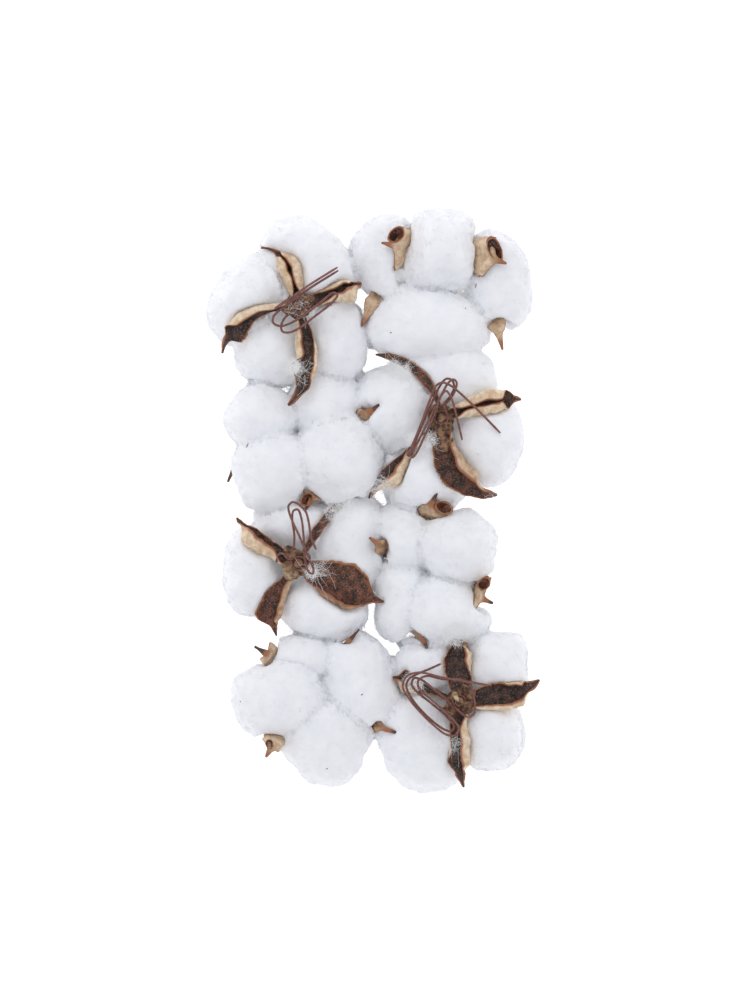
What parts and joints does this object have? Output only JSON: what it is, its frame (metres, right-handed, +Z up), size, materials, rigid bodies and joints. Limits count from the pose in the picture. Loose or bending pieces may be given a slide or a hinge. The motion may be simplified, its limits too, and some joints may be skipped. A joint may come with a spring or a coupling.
{
  "type": "cotton boll bunch",
  "caption": "Bunch of dried open cotton bolls laid flat and touching: white fibre locks held in woody brown burrs, each with a thin brown stem wire wound round its cut stalk.",
  "frame": {"origin": "on the surface that the bunch lies on, under the middle of its box", "axes": "+Z up from the surface, +Y along the two columns of bolls towards the top of the picture, +X to the picture's right"},
  "size_m": [0.1669, 0.2925, 0.0522],
  "materials": {
    "cotton": "soft, matte, loose white fibre",
    "burr": "dry, rough, dark brown outside and tan inside",
    "wire": "matte reddish brown coating"
  },
  "bodies": {
    "root": {"left_1_burr": "burr", "left_1_wire": "wire", "left_1_lock_a": "cotton", "left_1_lock_b": "cotton", "left_1_lock_c": "cotton", "left_1_lock_d": "cotton", "left_2_burr": "burr", "left_2_wire": "wire", "left_2_lock_a": "cotton", "left_2_lock_b": "cotton", "left_2_lock_c": "cotton", "left_2_lock_d": "cotton", "left_3_burr": "burr", "left_3_wire": "wire", "left_3_lock_a": "cotton", "left_3_lock_b": "cotton", "left_3_lock_c": "cotton", "left_3_lock_d": "cotton", "left_4_burr": "burr", "left_4_wire": "wire", "left_4_lock_a": "cotton", "left_4_lock_b": "cotton", "left_4_lock_c": "cotton", "left_4_lock_d": "cotton", "right_1_burr": "burr", "right_1_wire": "wire", "right_1_lock_a": "cotton", "right_1_lock_b": "cotton", "right_1_lock_c": "cotton", "right_1_lock_d": "cotton", "right_2_burr": "burr", "right_2_wire": "wire", "right_2_lock_a": "cotton", "right_2_lock_b": "cotton", "right_2_lock_c": "cotton", "right_2_lock_d": "cotton", "right_3_burr": "burr", "right_3_wire": "wire", "right_3_lock_a": "cotton", "right_3_lock_b": "cotton", "right_3_lock_c": "cotton", "right_3_lock_d": "cotton", "right_4_burr": "burr", "right_4_wire": "wire", "right_4_lock_a": "cotton", "right_4_lock_b": "cotton", "right_4_lock_c": "cotton", "right_4_lock_d": "cotton"}
  },
  "joints": []
}
